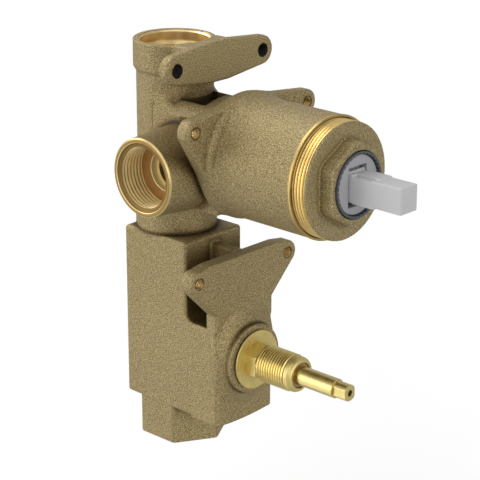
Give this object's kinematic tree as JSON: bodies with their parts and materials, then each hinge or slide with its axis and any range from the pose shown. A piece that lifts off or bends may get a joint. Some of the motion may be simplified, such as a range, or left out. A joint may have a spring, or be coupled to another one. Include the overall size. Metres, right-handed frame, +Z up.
{
  "type": "concealed shower mixer valve",
  "caption": "Cast brass in-wall shower mixer body with a lever ceramic cartridge, a diverter spindle, threaded inlets and outlets, and drilled fixing ears.",
  "frame": {"origin": "centre of the face of the lower threaded outlet", "axes": "+Z up along the lower outlet's axis towards the top outlet, +X to the right of a user who faces the wall, -Y out of the wall towards the user, along which the lever and the diverter spindle point"},
  "size_m": [0.0788, 0.1425, 0.1777],
  "materials": {
    "cast_brass": "rough sand-cast and blasted surface, machined bright inside the ports and chamber",
    "cast_brass_nut": "cast face and hexagon, machined bright thread",
    "turned_brass": "turned, bright",
    "lever_plastic": "light grey moulded",
    "grey_plastic": "grey moulded",
    "white_plastic": "off-white moulded",
    "dark_plastic": "dark blue-grey moulded",
    "ceramic_white": "lapped white alumina",
    "steel_pin": "ground",
    "black_rubber": "moulded nitrile",
    "fibre_gasket": "dark fibre-filled"
  },
  "bodies": {
    "body": {"valve_body": "cast_brass", "cartridge_nut": "cast_brass_nut", "cartridge_housing": "white_plastic", "cartridge_base": "white_plastic", "hot_seal": "black_rubber", "cold_seal": "black_rubber", "outlet_seal": "black_rubber", "base_o_ring": "black_rubber", "disc_seal": "black_rubber", "fixed_disc": "ceramic_white", "slip_ring": "white_plastic", "limit_ring": "dark_plastic", "diverter_bonnet": "turned_brass", "bonnet_gasket": "fibre_gasket", "diverter_cage": "white_plastic", "diverter_seal": "black_rubber", "diverter_fixed_disc": "ceramic_white", "thrust_washer": "white_plastic"},
    "turret": {"turret": "grey_plastic", "lever_pin": "steel_pin"},
    "lever": {"lever": "lever_plastic"},
    "mixing_disc": {"moving_disc": "ceramic_white", "disc_carrier": "grey_plastic"},
    "diverter_stem": {"diverter_spindle": "turned_brass", "diverter_moving_disc": "ceramic_white", "spindle_o_rings": "black_rubber", "spindle_clip": "steel_pin"}
  },
  "joints": [
    {"name": "temperature_turn", "type": "hinge", "parent": "body", "child": "turret", "pos_m": [0, -0.088, 0.1326], "axis": [0, -1, 0], "range_deg": [-50, 50]},
    {"name": "flow_tilt", "type": "hinge", "parent": "turret", "child": "lever", "pos_m": [0, -0.088, 0.1326], "axis": [-1, 0, 0], "range_deg": [-12.5, 12.5]},
    {"name": "mixing_disc_slide", "type": "slide", "parent": "turret", "child": "mixing_disc", "axis": [0, 0, 1], "range_m": [-0.00328, 0.00328]},
    {"name": "diverter_turn", "type": "hinge", "parent": "body", "child": "diverter_stem", "pos_m": [0, -0.07, 0.0441], "axis": [0, -1, 0], "range_deg": [-45, 45]}
  ],
  "couplings": [
    {"joint": "mixing_disc_slide", "follows": "flow_tilt", "m_per_rad": -0.015}
  ]
}
